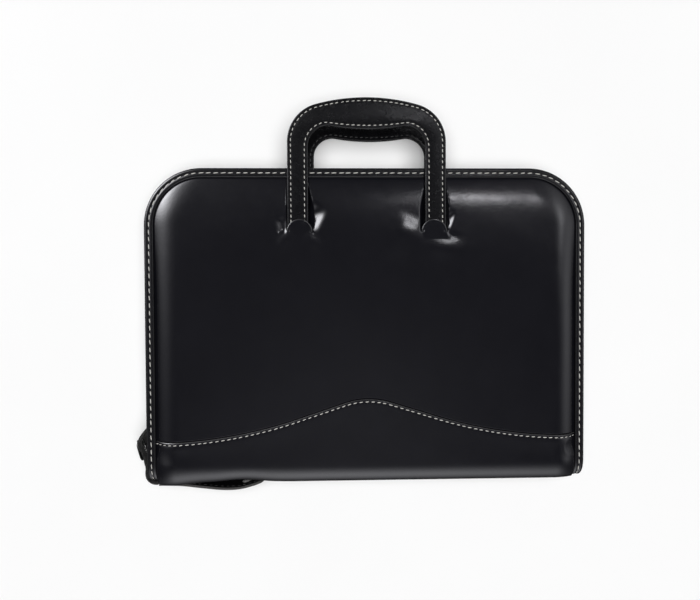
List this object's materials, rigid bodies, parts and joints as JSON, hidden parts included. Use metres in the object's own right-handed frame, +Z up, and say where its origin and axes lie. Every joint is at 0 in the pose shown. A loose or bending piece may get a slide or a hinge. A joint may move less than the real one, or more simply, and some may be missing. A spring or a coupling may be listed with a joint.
{
  "type": "portfolio",
  "caption": "Slim zip-around portfolio in polished leather with a wavy-edged yoke round the spine, bound edges and a flat padded handle that slides out of each face.",
  "frame": {"origin": "middle of the back face that the closed case rests on, below the centre of the case", "axes": "+X across the case away from the zip tail, +Y from the spine towards the handles, +Z up out of the front face"},
  "size_m": [0.3814, 0.3285, 0.0408],
  "materials": {
    "polished_leather": "polished black, fine grain",
    "zip_cloth": "woven black tape",
    "zip_teeth": "black moulded coil",
    "slider_metal": "black lacquered metal",
    "rivet_metal": "bright nickel"
  },
  "bodies": {
    "case": {"front_panel": "polished_leather", "back_panel": "polished_leather", "yoke": "polished_leather", "binding": "polished_leather", "zip_tape_front": "zip_cloth", "zip_tape_back": "zip_cloth", "zip_chain": "zip_teeth", "zip_slider": "slider_metal", "tail_tab": "polished_leather", "tab_rivet": "rivet_metal"},
    "front_grip": {"front_handle": "polished_leather"},
    "back_grip": {"back_handle": "polished_leather"}
  },
  "joints": [
    {"name": "front_handle_slide", "type": "slide", "parent": "case", "child": "front_grip", "axis": [0, 1, 0], "range_m": [-0.045, 0]},
    {"name": "back_handle_slide", "type": "slide", "parent": "case", "child": "back_grip", "axis": [0, 1, 0], "range_m": [-0.045, 0]}
  ]
}
